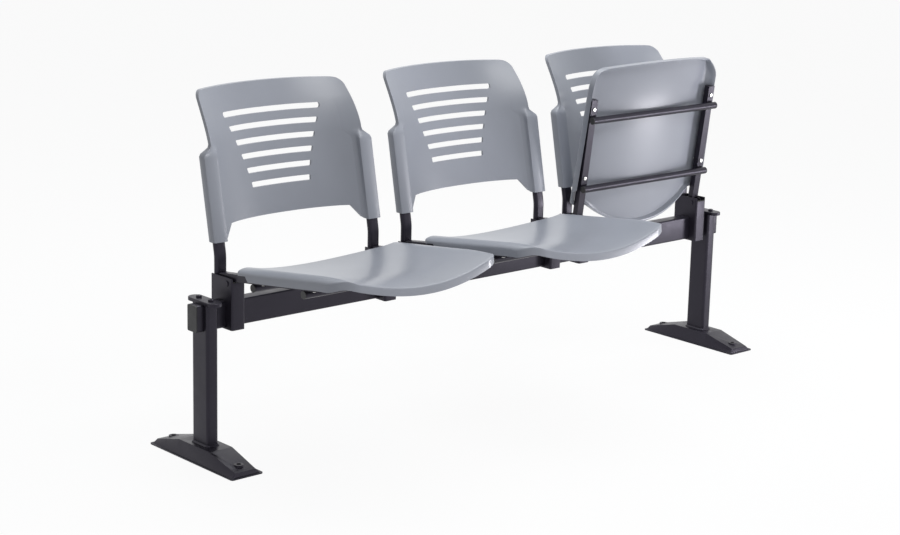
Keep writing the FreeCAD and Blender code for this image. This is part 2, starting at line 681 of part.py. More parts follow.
def upright_path(low, high):
    """A straight foot, one bend and the leaning part."""
    run = UPRIGHT_BEND_RADIUS * math.tan(math.radians(BACK_LEAN) / 2)
    lean = math.radians(BACK_LEAN)
    foot = Vector(0, UPRIGHT_Y, low)
    bend_start = Vector(0, UPRIGHT_Y, UPRIGHT_BEND_Z - run)
    bend_end = Vector(0, UPRIGHT_Y + run * math.sin(lean), UPRIGHT_BEND_Z + run * math.cos(lean))
    half = lean / 2
    middle = Vector(0, UPRIGHT_Y + UPRIGHT_BEND_RADIUS * (1 - math.cos(half)),
                    UPRIGHT_BEND_Z - run + UPRIGHT_BEND_RADIUS * math.sin(half))
    top = Vector(0, lean_y(high), high)
    return Part.Wire([
        Part.LineSegment(foot, bend_start).toShape(),
        Part.Arc(bend_start, middle, bend_end).toShape(),
        Part.LineSegment(bend_end, top).toShape(),
    ])


def flat_oval(width, depth, z):
    wire = rounded_rectangle(width, depth, depth / 2 - FLAT_END)
    wire.translate(Vector(0, UPRIGHT_Y, z))
    return wire


def make_upright():
    path = upright_path(UPRIGHT_BOTTOM, UPRIGHT_TOP)
    outside = path.makePipeShell([flat_oval(UPRIGHT_WIDTH, UPRIGHT_DEPTH, UPRIGHT_BOTTOM)],
                                 True, False)
    inside = path.makePipeShell([flat_oval(UPRIGHT_WIDTH - 2 * UPRIGHT_WALL,
                                           UPRIGHT_DEPTH - 2 * UPRIGHT_WALL, UPRIGHT_BOTTOM)],
                                True, False)
    holes = [rod(UPRIGHT_HOLE_RADIUS, (0, 0, z), (0, UPRIGHT_Y + UPRIGHT_DEPTH, z))
             for z in UPRIGHT_BOLT_HEIGHTS]
    screw_holes = [back_screw_hole(z) for z in BACK_SCREW_HEIGHTS]
    return outside.cut([inside] + holes + screw_holes)


def back_screw_hole(z):
    """A hole square to the leaning upright, from its middle out through the sleeve."""
    middle = Vector(0, lean_y(z), z)
    return rod(BACK_SCREW_RADIUS, middle, middle + LEAN_NORMAL * SLEEVE_DEPTH)


def make_upright_bolts():
    """Bolts from behind through each upright into the beam's back wall."""
    seat_face = UPRIGHT_Y + UPRIGHT_DEPTH / 2
    length = seat_face - BEAM_DEPTH / 2 + 2 * BEAM_WALL
    bolt = cap_screw(UPRIGHT_BOLT_RADIUS, length, BOLT_HEAD_RADIUS, BOLT_HEAD_HEIGHT,
                     SOCKET_RADIUS, SOCKET_DEPTH)
    bolt.rotate(Vector(0, 0, 0), X_AXIS, -90)
    return Part.makeCompound([moved(bolt, x, seat_face, z)
                              for x in upright_places() for z in UPRIGHT_BOLT_HEIGHTS])


def back_centre_y(z):
    rise = z - BACK_CENTRE_Z
    return BACK_CENTRE_Y + BACK_CENTRE_SLOPE * rise + BACK_CENTRE_CURVE * rise ** 2


def back_side_y(z):
    """Front face of the panel where it meets the sleeve, curling back in the wings."""
    curl_run = max(z - BACK_WING_Z, 0.0) / (BACK_TOP - BACK_WING_Z)
    return lean_y(z) - SLEEVE_DEPTH / 2 + BACK_WING_CURL * curl_run ** BACK_WING_POWER


def back_face_y(x, z):
    share = (abs(x) / BRACKET_X) ** BACK_HOLLOW_POWER
    centre = back_centre_y(z)
    return centre - (centre - back_side_y(z)) * share


def along_back(edges):
    """A prism along Y through the whole back from an outline seen from the front."""
    low, high = BACK_CUT_RANGE
    return Part.Face(Part.Wire(edges)).extrude(Vector(0, high - low, 0))


def outline_point(x, z):
    return Vector(x, BACK_CUT_RANGE[0], z)


def back_outline(inset):
    """The panel's outline seen from the front, drawn in by an inset."""
    at = outline_point
    top_half, side = BACK_TOP_HALF_WIDTH - inset, BACK_SHOULDER_HALF_WIDTH - inset
    side_middle = BACK_SIDE_HALF_WIDTH - inset
    top = BACK_TOP - inset
    corner = top - BACK_TOP_RISE
    sleeve = BRACKET_X + SLEEVE_WIDTH / 2 - inset
    edges = [
        Part.LineSegment(at(sleeve, SLEEVE_BOTTOM), at(sleeve, SLEEVE_SHOULDER)),
        Part.LineSegment(at(sleeve, SLEEVE_SHOULDER), at(side, SLEEVE_TOP)),
        Part.Arc(at(side, SLEEVE_TOP), at(side_middle, BACK_SIDE_Z), at(top_half, corner)),
        Part.Arc(at(top_half, corner), at(0, top), at(-top_half, corner)),
        Part.Arc(at(-top_half, corner), at(-side_middle, BACK_SIDE_Z), at(-side, SLEEVE_TOP)),
        Part.LineSegment(at(-side, SLEEVE_TOP), at(-sleeve, SLEEVE_SHOULDER)),
        Part.LineSegment(at(-sleeve, SLEEVE_SHOULDER), at(-sleeve, SLEEVE_BOTTOM)),
        Part.LineSegment(at(-sleeve, SLEEVE_BOTTOM), at(sleeve, SLEEVE_BOTTOM)),
    ]
    block = along_back([edge.toShape() for edge in edges])
    corners = [edge for edge in block.Edges
               if edge.BoundBox.XLength < 1e-3 and abs(edge.BoundBox.ZMin - corner) < 1e-3]
    return block.makeFillet(BACK_CORNER_RADIUS - inset, corners)


def lower_arch():
    """What is cut away under the panel, between the sleeves."""
    half = BRACKET_X - SLEEVE_WIDTH / 2
    below, lobe = SLEEVE_BOTTOM - SHEET_OVERLAP, SLEEVE_BOTTOM + BACK_LOBE_RISE
    right_side = [(half, below), (half, lobe), (BACK_LOBE_HALF_WIDTH, lobe),
                  (BACK_ARCH_HALF_WIDTH, BACK_LOWER_EDGE)]
    points = [outline_point(x, z) for x, z in right_side]
    points += [outline_point(-x, z) for x, z in reversed(right_side)]
    block = along_back(Part.makePolygon(points + points[:1]).Edges)
    round_edges = [edge for edge in block.Edges
                   if edge.BoundBox.XLength < 1e-3 and edge.BoundBox.ZLength < 1e-3
                   and abs(edge.BoundBox.ZMin - BACK_LOWER_EDGE) < 1e-3]
    return block.makeFillet(BACK_ARCH_FILLET, round_edges)


def sleeve_along(width, depth, corner, low, high):
    """A leaning prism round the line of an upright at X = 0."""
    wire = rounded_rectangle(width, depth, corner)
    wire.translate(Vector(0, lean_y(low), low))
    return Part.Face(wire).extrude(Vector(0, lean_y(high) - lean_y(low), high - low))


def slot_cutter(half_width, z):
    cutter = box(around(0, half_width), BACK_CUT_RANGE, around(z, SLOT_HEIGHT / 2))
    long_edges = [edge for edge in cutter.Edges if edge.BoundBox.YLength > 100]
    return cutter.makeFillet(SLOT_CORNER, long_edges)


def make_back_shell():
    across = spread(BRACKET_X, SHEET_COLUMNS)
    stations = even(SLEEVE_BOTTOM - SHEET_OVERLAP, BACK_TOP + SHEET_OVERLAP, SHEET_ROWS)

    def point(x, z, offset):
        return Vector(x, back_face_y(x, z) + offset, z)

    panel_box = box(around(0, BACK_SHOULDER_HALF_WIDTH), BACK_CUT_RANGE, (SLEEVE_BOTTOM, BACK_TOP + 1))
    outline = back_outline(0.0)
    panel = slab(stations, across, point, BACK_SHEET).common(panel_box)
    sleeve = sleeve_along(SLEEVE_WIDTH, SLEEVE_DEPTH, SLEEVE_CORNER, SLEEVE_BOTTOM, SLEEVE_TOP)
    sleeves = [moved(sleeve, side * BRACKET_X) for side in (-1, 1)]
    above_sleeves = box(around(0, SEAT_PITCH / 2), BACK_CUT_RANGE, (SLEEVE_TOP - FLANGE_WALL, BACK_TOP))
    wing_rim = outline.cut(back_outline(FLANGE_WALL)).common(above_sleeves)
    flange = slab(stations, across, point, FLANGE_DEPTH).common(wing_rim)
    shell = union([panel.cut(lower_arch()).common(outline)]
                  + [piece.common(outline) for piece in sleeves] + [flange])
    bore_depth = UPRIGHT_DEPTH / math.cos(math.radians(BACK_LEAN)) + 2 * SLEEVE_GAP
    bore = sleeve_along(UPRIGHT_WIDTH + 2 * SLEEVE_GAP, bore_depth, bore_depth / 2 - FLAT_END,
                        SLEEVE_BOTTOM - SHEET_OVERLAP, UPRIGHT_TOP + SLEEVE_TOP_ROOM)
    slots = [slot_cutter(half, SLOT_TOP_Z - index * SLOT_PITCH)
             for index, half in enumerate(SLOT_HALF_WIDTHS)]
    screw_holes = [moved(back_screw_hole(z), side * BRACKET_X)
                   for side in (-1, 1) for z in BACK_SCREW_HEIGHTS]
    bores = [moved(bore, side * BRACKET_X) for side in (-1, 1)]
    return shell.cut(bores + slots + screw_holes)


def make_back_screws():
    screws = []
    for x in upright_places():
        for z in BACK_SCREW_HEIGHTS:
            to_face = SLEEVE_DEPTH / 2 * math.cos(math.radians(BACK_LEAN))
            screw = cap_screw(BACK_SCREW_RADIUS, to_face, SCREW_HEAD_RADIUS, SCREW_HEAD_HEIGHT,
                              SCREW_RADIUS * SOCKET_SHARE, SCREW_HEAD_HEIGHT * SOCKET_SHARE)
            screw.rotate(Vector(0, 0, 0), X_AXIS, -90 - BACK_LEAN)
            screw.translate(Vector(x, lean_y(z), z) + LEAN_NORMAL * to_face)
            screws.append(screw)
    return Part.makeCompound(screws)


# Assembly

def place_seat(shape, seat_name, seat_x):
    """Move a piece of the seat frame from its flat drawing to its place in the row."""
    turn = TIPPED_ANGLE if seat_name in TIPPED_SEATS else SEAT_INCLINE
    placed = shape.copy()
    placed.rotate(Vector(0, 0, 0), X_AXIS, -turn)
    placed.translate(Vector(seat_x, PIVOT_Y, PIVOT_Z))
    return placed


def add_leg(name, x):
    nodes[name + "_foot"] = make_foot(x)
    nodes[name + "_column"] = make_column(x)
    nodes[name + "_clamp_plate"] = make_clamp_plate(x)
    nodes[name + "_clamp_bolts"] = make_clamp_bolts(x)
    nodes[name + "_clamp_inserts"] = make_clamp_inserts(x)


def at_both_sides(shapes):
    """Copies of the shapes at the two brackets of one seat place."""
    return Part.makeCompound([moved(shape, side * BRACKET_X)
                              for side in SIDES.values() for shape in shapes])


def add_seats():
    """Every piece is made once and then placed at each seat."""
    fixed_pairs = {"bracket": make_bracket(), "upright": make_upright()}
    fixed = {"stop_buffers": at_both_sides(make_buffers()), "back_shell": make_back_shell()}
    rail = make_rail()
    turning = {
        "shell": make_seat_shell(),
        "front_bar": make_bar(FRONT_BAR_REACH),
        "rear_bar": make_bar(REAR_BAR_REACH),
        "bar_caps": make_bar_caps(),
        "screws": make_seat_screws(),
        "pivot_bushes": at_both_sides(make_bushes()),
    }
    for seat_name, x in zip(SEAT_NAMES, SEAT_CENTRES):
        prefix = seat_name + "_seat_"
        for side_name, side in SIDES.items():
            place = x + side * BRACKET_X
            for piece, shape in fixed_pairs.items():
                nodes[prefix + side_name + "_" + piece] = moved(shape, place)
            nodes[prefix + side_name + "_rail"] = place_seat(rail, seat_name, place)
        for piece, shape in fixed.items():
            nodes[prefix + piece] = moved(shape, x)
        for piece, shape in turning.items():
            nodes[prefix + piece] = place_seat(shape, seat_name, x)


nodes["beam"] = make_beam()
nodes["beam_end_caps"] = make_end_caps()
for leg_name, leg_x in LEGS.items():
    add_leg(leg_name, leg_x)
add_seats()
nodes["pivot_pins"] = Part.makeCompound([moved(make_pivot_pin(), x) for x in upright_places()])
nodes["upright_bolts"] = make_upright_bolts()
nodes["back_screws"] = make_back_screws()

os.makedirs("parts", exist_ok=True)
for node_name, shape in nodes.items():
    if not shape.isValid():
        print("not valid:", node_name)
    shape.exportStep("parts/" + node_name + ".step")
print(len(nodes), "nodes written")
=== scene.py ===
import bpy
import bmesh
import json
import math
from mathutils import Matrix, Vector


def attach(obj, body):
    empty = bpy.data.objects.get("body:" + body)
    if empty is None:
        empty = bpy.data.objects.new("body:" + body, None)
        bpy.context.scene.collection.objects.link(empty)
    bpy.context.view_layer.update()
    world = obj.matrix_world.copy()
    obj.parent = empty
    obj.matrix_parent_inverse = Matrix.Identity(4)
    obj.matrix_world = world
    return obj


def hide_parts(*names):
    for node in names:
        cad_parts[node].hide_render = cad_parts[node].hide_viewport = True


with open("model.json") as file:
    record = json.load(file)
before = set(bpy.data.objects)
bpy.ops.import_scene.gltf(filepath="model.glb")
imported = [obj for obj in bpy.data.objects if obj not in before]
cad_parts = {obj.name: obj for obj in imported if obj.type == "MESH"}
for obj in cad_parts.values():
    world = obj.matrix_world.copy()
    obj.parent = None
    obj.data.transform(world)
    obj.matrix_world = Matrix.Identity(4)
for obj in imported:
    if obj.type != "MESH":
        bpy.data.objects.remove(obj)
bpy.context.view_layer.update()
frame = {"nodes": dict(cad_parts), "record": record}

# %% [markdown]
# # Beam seating, dressed for its picture
#
# A waiting room bench: moulded plastic seats and slotted backs on one black steel beam. The packed
# model is already loaded above, and it fixes every place and size. Here its pieces get softer edges,
# fuller plastic shells and real finishes. Lengths are written in millimetres, as on a drawing, and
# are turned into metres where a point is placed.

MM = 0.001

# %% [markdown]
# ## Finishes
#
# Every finish is built from nodes, so it needs no picture files. Object coordinates are used
# everywhere: the grain then sits still on its piece. Moulded plastic has a fine leathery grain from
# the mould and a slow change of gloss. Powder coat has a tight orange peel. A noise texture through a
# bump node gives both, at different sizes.

# %% Helpers that start a finish
def start_finish(name, colour, metallic, roughness):
    material = bpy.data.materials.new(name)
    material.use_nodes = True
    shader = material.node_tree.nodes["Principled BSDF"]
    shader.inputs["Base Color"].default_value = (*colour, 1)
    shader.inputs["Metallic"].default_value = metallic
    shader.inputs["Roughness"].default_value = roughness
    return material, shader


def add_node(material, kind, **inputs):
    node = material.node_tree.nodes.new(kind)
    for key, value in inputs.items():
        node.inputs[key].default_value = value
    return node


def noise_on_object(material, scale, detail, stretch=(1, 1, 1)):
    """A noise pattern fixed to the piece. The scale counts waves per metre."""
    place = add_node(material, "ShaderNodeTexCoord")
    mapping = add_node(material, "ShaderNodeMapping")
    mapping.inputs["Scale"].default_value = stretch
    noise = add_node(material, "ShaderNodeTexNoise", Scale=scale, Detail=detail)
    links = material.node_tree.links
    links.new(place.outputs["Object"], mapping.inputs["Vector"])
    links.new(mapping.outputs["Vector"], noise.inputs["Vector"])
    return noise

# %% [markdown]
# A noise value lies mostly between 0.3 and 0.7. To vary the gloss, that part of it is stretched over
# a low and a high roughness, and to vary the colour it runs through a ramp from a darker to a lighter
# shade. A bump node reads it as height, which gives the grain without any extra faces.

# %% Helpers that vary a finish
NOISE_LOW, NOISE_HIGH = 0.3, 0.7
SHADE_LOW, SHADE_HIGH = 0.35, 0.65


def vary_roughness(material, shader, noise, low, high):
    spread = add_node(material, "ShaderNodeMapRange")
    spread.inputs["From Min"].default_value = NOISE_LOW
    spread.inputs["From Max"].default_value = NOISE_HIGH
    spread.inputs["To Min"].default_value = low
    spread.inputs["To Max"].default_value = high
    material.node_tree.links.new(noise.outputs["Fac"], spread.inputs["Value"])
    material.node_tree.links.new(spread.outputs["Result"], shader.inputs["Roughness"])


def vary_colour(material, shader, noise, darker, lighter):
    ramp = add_node(material, "ShaderNodeValToRGB")
    ramp.color_ramp.elements[0].position = SHADE_LOW
    ramp.color_ramp.elements[0].color = (*darker, 1)
    ramp.color_ramp.elements[1].position = SHADE_HIGH
    ramp.color_ramp.elements[1].color = (*lighter, 1)
    material.node_tree.links.new(noise.outputs["Fac"], ramp.inputs["Fac"])
    material.node_tree.links.new(ramp.outputs["Color"], shader.inputs["Base Color"])


def add_grain(material, shader, noise, strength, distance_mm):
    bump = add_node(material, "ShaderNodeBump", Strength=strength, Distance=distance_mm * MM)
    material.node_tree.links.new(noise.outputs["Fac"], bump.inputs["Height"])
    material.node_tree.links.new(bump.outputs["Normal"], shader.inputs["Normal"])


def scaled(colour, factor):
    return tuple(min(channel * factor, 1.0) for channel in colour)

# %% Moulded plastic of the seats and backs
SHELL_GREY = (0.293, 0.308, 0.350)

shell_plastic, shader = start_finish("moulded grey plastic", SHELL_GREY, metallic=0.0,
                                     roughness=0.29)
shader.inputs["Specular IOR Level"].default_value = 0.5
cloud = noise_on_object(shell_plastic, scale=5.0, detail=3.0)
vary_colour(shell_plastic, shader, cloud, scaled(SHELL_GREY, 0.97), scaled(SHELL_GREY, 1.03))
gloss = noise_on_object(shell_plastic, scale=14.0, detail=4.0)
vary_roughness(shell_plastic, shader, gloss, low=0.28, high=0.305)
grain = noise_on_object(shell_plastic, scale=1400.0, detail=2.0)
add_grain(shell_plastic, shader, grain, strength=0.12, distance_mm=0.08)
print("moulded plastic:", len(shell_plastic.node_tree.nodes), "nodes")

# %% Powder coat of the beam, columns, brackets and rails
STEEL_BLACK, STEEL_GLINT = (0.016, 0.0145, 0.021), (0.86, 0.81, 1.0)

coated_steel, shader = start_finish("black powder coat", STEEL_BLACK, metallic=0.0, roughness=0.36)
shader.inputs["Specular IOR Level"].default_value = 0.34
shader.inputs["Specular Tint"].default_value = (*STEEL_GLINT, 1)
cloud = noise_on_object(coated_steel, scale=9.0, detail=3.0)
vary_colour(coated_steel, shader, cloud, scaled(STEEL_BLACK, 0.88), scaled(STEEL_BLACK, 1.12))
gloss = noise_on_object(coated_steel, scale=30.0, detail=4.0)
vary_roughness(coated_steel, shader, gloss, low=0.30, high=0.42)
peel = noise_on_object(coated_steel, scale=700.0, detail=2.0)
add_grain(coated_steel, shader, peel, strength=0.10, distance_mm=0.10)
print("powder coat:", len(coated_steel.node_tree.nodes), "nodes")

# %% [markdown]
# The small parts are moulded black plastic (end caps, plugs and bushes), rubber (stop strips and heel
# pads) and bright zinc (screws and threaded blocks). Rubber is the dullest, and zinc is the only bare
# metal. Its noise is squeezed eight times along one axis, like the marks of drawing and turning.

# %% Finishes of the small parts
CAP_BLACK, RUBBER_BLACK = (0.018, 0.018, 0.020), (0.014, 0.014, 0.014)
ZINC_WHITE = (0.66, 0.66, 0.64)

black_plastic, shader = start_finish("black moulded plastic", CAP_BLACK, metallic=0.0, roughness=0.5)
gloss = noise_on_object(black_plastic, scale=40.0, detail=3.0)
vary_roughness(black_plastic, shader, gloss, low=0.42, high=0.55)
grain = noise_on_object(black_plastic, scale=1600.0, detail=2.0)
add_grain(black_plastic, shader, grain, strength=0.15, distance_mm=0.08)

rubber, shader = start_finish("buffer rubber", RUBBER_BLACK, metallic=0.0, roughness=0.8)
gloss = noise_on_object(rubber, scale=60.0, detail=3.0)
vary_roughness(rubber, shader, gloss, low=0.7, high=0.88)
grain = noise_on_object(rubber, scale=900.0, detail=3.0)
add_grain(rubber, shader, grain, strength=0.25, distance_mm=0.1)

zinc, shader = start_finish("bright zinc", ZINC_WHITE, metallic=1.0, roughness=0.32)
brushed = noise_on_object(zinc, scale=300.0, detail=3.0, stretch=(1, 1, 8))
vary_roughness(zinc, shader, brushed, low=0.25, high=0.42)
grain = noise_on_object(zinc, scale=2500.0, detail=2.0)
add_grain(zinc, shader, grain, strength=0.06, distance_mm=0.05)

FINISHES = {"grey_plastic": shell_plastic, "black_steel": coated_steel, "zinc_steel": zinc,
            "black_plastic": black_plastic, "buffer_rubber": rubber}
print("finishes:", ", ".join(FINISHES))

# %% [markdown]
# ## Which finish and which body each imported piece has
#
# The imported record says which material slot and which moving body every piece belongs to. Reading
# both from there keeps this script and the model in step.

# %% Look up slots and bodies
SLOT_OF = {part["node"]: part["material_slot"] for part in frame["record"]["subparts"]}
BODY_OF = {node: body for body, members in frame["record"]["behaviour"]["bodies"].items()
           for node in members}
for node, cad_object in frame["nodes"].items():
    cad_object.data.materials.clear()
    cad_object.data.materials.append(FINISHES[SLOT_OF[node]])
print(len(SLOT_OF), "packed pieces have a finish")

# %% [markdown]
# Each piece made below goes through one helper. It gives the mesh its finish, shades it smooth up to
# an angle, and lets a Bevel modifier round the edges that are sharper. The piece is then hung on an
# empty for the body it rides on, and the imported nodes it stands for are hidden.

# %% A helper that hands over a piece
def finish_piece(bm, name, nodes, smooth_angle, bevel_mm):
    """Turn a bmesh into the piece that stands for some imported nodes."""
    mesh = bpy.data.meshes.new(name)
    bm.to_mesh(mesh)
    bm.free()
    mesh.shade_smooth()
    mesh.set_sharp_from_angle(angle=math.radians(smooth_angle))
    piece = bpy.data.objects.new(name, mesh)
    bpy.context.scene.collection.objects.link(piece)
    mesh.materials.append(FINISHES[SLOT_OF[nodes[0]]])
    bevel = piece.modifiers.new("soft edges", "BEVEL")
    bevel.width = bevel_mm * MM
    bevel.segments = 2
    bevel.limit_method = "ANGLE"
    bevel.angle_limit = math.radians(smooth_angle)
    bevel.harden_normals = True
    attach(piece, BODY_OF[nodes[0]])
    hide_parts(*nodes)

# %% [markdown]
# ## Steel pieces with soft edges
#
# Cut and folded steel never has a knife edge, and it is the thin bright line along each edge that
# makes a picture of it look real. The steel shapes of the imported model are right, so a copy of each
# is merged, its flat faces are joined again, and the Bevel modifier rounds what is sharper than the
# angle. Building each one afresh would only repeat the same sizes.

# %% Copies of the steel pieces
STEEL_EDGES_MM = {"beam": 1.2, "foot": 2.2, "column": 0.8, "clamp_plate": 0.5, "bracket": 0.7,
                  "upright": 0.5, "rail": 0.7, "bar": 0.4, "end_caps": 1.4, "bar_caps": 0.9,
                  "buffers": 0.3}
FACET_ANGLE = 28.0
MERGE_DISTANCE, FLAT_ANGLE = 0.002, 0.5


def merged_copy(node):
    bm = bmesh.new()
    bm.from_mesh(frame["nodes"][node].data)
    bmesh.ops.remove_doubles(bm, verts=bm.verts, dist=MERGE_DISTANCE * MM)
    bmesh.ops.dissolve_limit(bm, angle_limit=math.radians(FLAT_ANGLE), verts=bm.verts,
                             edges=bm.edges, use_dissolve_boundaries=False)
    return bm


def steel_edge(node):
    for ending, width in STEEL_EDGES_MM.items():
        if node.endswith(ending):
            return width
    return None


soft_steel = [node for node in sorted(SLOT_OF) if steel_edge(node)]
for node in soft_steel:
    finish_piece(merged_copy(node), node.replace("_seat", "") + "_soft", [node], FACET_ANGLE,
                 steel_edge(node))
print(len(soft_steel), "steel and rubber pieces have soft edges")

# %% [markdown]
# ## The back shell
#
# The back is one moulding: a thin hollow panel with slots, two sleeves that slide over the
# uprights, and wings that curl back above the sleeves. Its front is a grid whose columns follow the
# ends of the slots and then run round the sleeve. The grid is extruded once, which also makes the
# walls of the slots, and the new side is moved to the rear face. Every row can be a different
# cross-section, so the sleeves melt into the wings as they do in the real moulding.

# %% Sizes of the back, in millimetres, from the drawing
SEAT_X = {"left": -540.0, "middle": 0.0, "right": 540.0}
SLEEVE_X, SLEEVE_HALF_WIDTH, SLEEVE_HALF_DEPTH = 219.0, 19.0, 11.5
SLEEVE_BOTTOM, SLEEVE_SHOULDER, SLEEVE_TOP = 482.0, 668.0, 690.0
BACK_TOP, BACK_TOP_RISE, BACK_CORNER = 806.5, 4.0, 17.0
BACK_LOWER_EDGE, ARCH_HALF_WIDTH, LOBE_HALF_WIDTH, LOBE_RAISE = 515.0, 167.0, 197.0, 2.0
PANEL_SHEET, FLANGE_DEPTH, FLANGE_WALL = 5.0, 11.0, 4.0
SLOT_HEIGHT, SLOT_PITCH, SLOT_TOP, SLOT_CORNER = 12.5, 31.8, 743.0, 3.0
SLOT_HALF_WIDTHS = [137.0, 124.0, 111.0, 100.0, 90.0, 83.0]
UPRIGHT_Y, BEND_Z = 28.0, 452.0
LEAN = math.tan(math.radians(11.6))
# Hollow of the panel: the curve up its middle, and how it runs out to the sleeves and wings.
PANEL_Z, PANEL_Y, PANEL_SLOPE, PANEL_BEND = 590.0, 101.0, 0.29, 0.00025
HOLLOW_POWER, WING_CURL, CURL_POWER = 2.4, 46.0, 1.6
# Side line of the wings, from their foot just under the top of the sleeves.
WING_FOOT, WING_HALF_WIDTH, WING_SPREAD, WING_CLOSING = 688.0, 213.0, 0.0203, 0.00089

slot_rows = [SLOT_TOP - SLOT_PITCH * index for index in range(len(SLOT_HALF_WIDTHS))]
lowest_slot_edge = slot_rows[-1] - SLOT_HEIGHT / 2
print("slots at", [round(z, 1) for z in slot_rows], "mm above the floor")

# %% Curves of the back
def smooth_step(value, low, high):
    """0 below low, 1 above high, and a soft S between them."""
    share = min(max((value - low) / (high - low), 0.0), 1.0)
    return share * share * (3 - 2 * share)


def lean_y(z):
    """Middle of the upright, which leans back above its bend."""
    return UPRIGHT_Y + (z - BEND_Z) * LEAN


def back_face_y(x, z):
    """Front face of the panel: hollow in the middle, curling back in the wings."""
    rise = z - PANEL_Z
    centre = PANEL_Y + PANEL_SLOPE * rise + PANEL_BEND * rise ** 2
    curl = WING_CURL * (max(z - SLEEVE_TOP, 0.0) / (BACK_TOP - SLEEVE_TOP)) ** CURL_POWER
    side = lean_y(z) - SLEEVE_HALF_DEPTH + curl
    return centre - (centre - side) * (abs(x) / SLEEVE_X) ** HOLLOW_POWER


def wing_half_width(z):
    """Half of the width above the sleeves, without the rounded corner."""
    above = z - WING_FOOT
    return WING_HALF_WIDTH + WING_SPREAD * above - WING_CLOSING * above ** 2


def slot_end(z):
    """The line through the ends of the slots, from the widest to the narrowest."""
    place = (SLOT_TOP - z) / SLOT_PITCH
    place = min(max(place, 0.0), len(SLOT_HALF_WIDTHS) - 1.0)
    step = min(int(place), len(SLOT_HALF_WIDTHS) - 2)
    low, high = SLOT_HALF_WIDTHS[step], SLOT_HALF_WIDTHS[step + 1]
    return low + (high - low) * (place - step)

# %% [markdown]
# The rows below the slots are shares of the way from the lower edge up to the lowest slot, so they
# follow the arch. Every other row is a height. The upper and lower edges of the slots are rows of
# their own, and the rows come closer together in the round corners at the top.

# %% Rows of the back's grid
back_rows = [0.0, 0.05, 0.18, 0.34, 0.5, 0.66, 0.83]
LOW_ROWS, ROWS_PER_SLOT = len(back_rows), 5
BETWEEN_SLOTS, ABOVE_SLOTS = (6.4, 12.9), [756.0, 764.0]
CORNER_STEP_DEGREES = 10
for middle in reversed(slot_rows):
    back_rows += [middle - SLOT_HEIGHT / 2, middle, middle + SLOT_HEIGHT / 2]
    back_rows += [middle + SLOT_HEIGHT / 2 + gap for gap in BETWEEN_SLOTS]
back_rows = back_rows[:-len(BETWEEN_SLOTS)] + ABOVE_SLOTS
corner_start = BACK_TOP - BACK_CORNER
back_rows += [corner_start + BACK_CORNER * math.sin(math.radians(turn))
              for turn in range(0, 91, CORNER_STEP_DEGREES)]
print("rows of the back:", len(back_rows))

# %% [markdown]
# From the middle outwards, the columns cross the slots, then the plain panel beside them, the fillet
# in front of the sleeve, and the front half of the sleeve itself. Above the sleeves the same columns
# close up towards the edge of the wing, which is a little deeper than the panel.

# %% Columns of the back's grid
SLOT_COLUMNS, MIDDLE_COLUMNS = 8, 5
# The slot columns keep within SLOT_COLUMNS of this many equal shares of the panel.
NARROW_SHARES = SLOT_COLUMNS + 2
SLEEVE_INNER_X = SLEEVE_X - SLEEVE_HALF_WIDTH
# Fillet: (across from the sleeve's inner side, forward of the panel).
FILLET = [(-9.0, 0.0), (-3.5, 1.2), (-0.6, 4.2)]
PANEL_EDGE = SLEEVE_INNER_X + FILLET[0][0]
# Sleeve: (across, along its depth), both from its middle. ARC_MIDDLE places the middle of a corner.
SLEEVE_CORNER, ARC_MIDDLE = 4.0, 0.3
SLEEVE_RING = [(-SLEEVE_HALF_WIDTH, -SLEEVE_HALF_DEPTH + SLEEVE_CORNER),
               (-SLEEVE_HALF_WIDTH + ARC_MIDDLE * SLEEVE_CORNER,
                -SLEEVE_HALF_DEPTH + ARC_MIDDLE * SLEEVE_CORNER),
               (-SLEEVE_HALF_WIDTH + SLEEVE_CORNER, -SLEEVE_HALF_DEPTH)]
SLEEVE_RING += [(0.0, -SLEEVE_HALF_DEPTH)] + [(-across, depth)
                                               for across, depth in SLEEVE_RING[::-1]]
WING_STEPS = [40.0, 30.0, 22.0, 15.0, 10.0, 7.0, 5.5, FLANGE_WALL, 2.0, 0.0]
BACK_HALF_COLUMNS = SLOT_COLUMNS + MIDDLE_COLUMNS + len(FILLET) + len(SLEEVE_RING)
print("columns of the back:", 2 * BACK_HALF_COLUMNS + 1)

# %% Outline of the back
def corner_cut(z):
    """How much the rounded upper corner takes off the half width."""
    into = max(z - corner_start, 0.0)
    return BACK_CORNER - math.sqrt(max(BACK_CORNER ** 2 - into ** 2, 0.0))


def back_lower_z(x):
    """The lower edge: an arch between two lobes that reach down along the sleeves."""
    drop = smooth_step(abs(x), ARCH_HALF_WIDTH, LOBE_HALF_WIDTH)
    return BACK_LOWER_EDGE + (SLEEVE_BOTTOM + LOBE_RAISE - BACK_LOWER_EDGE) * drop


def back_row_z(row, x):
    """Height of a row at x: the top edge is bowed and the low rows follow the lower edge."""
    if row >= LOW_ROWS:
        z = back_rows[row]
        bow = BACK_TOP_RISE * (x / wing_half_width(BACK_TOP)) ** 2
        return z - bow * smooth_step(z, SLOT_TOP + SLOT_HEIGHT / 2, BACK_TOP)
    low = back_lower_z(x) if abs(x) < SLEEVE_INNER_X else SLEEVE_BOTTOM
    return low + (lowest_slot_edge - low) * back_rows[row]

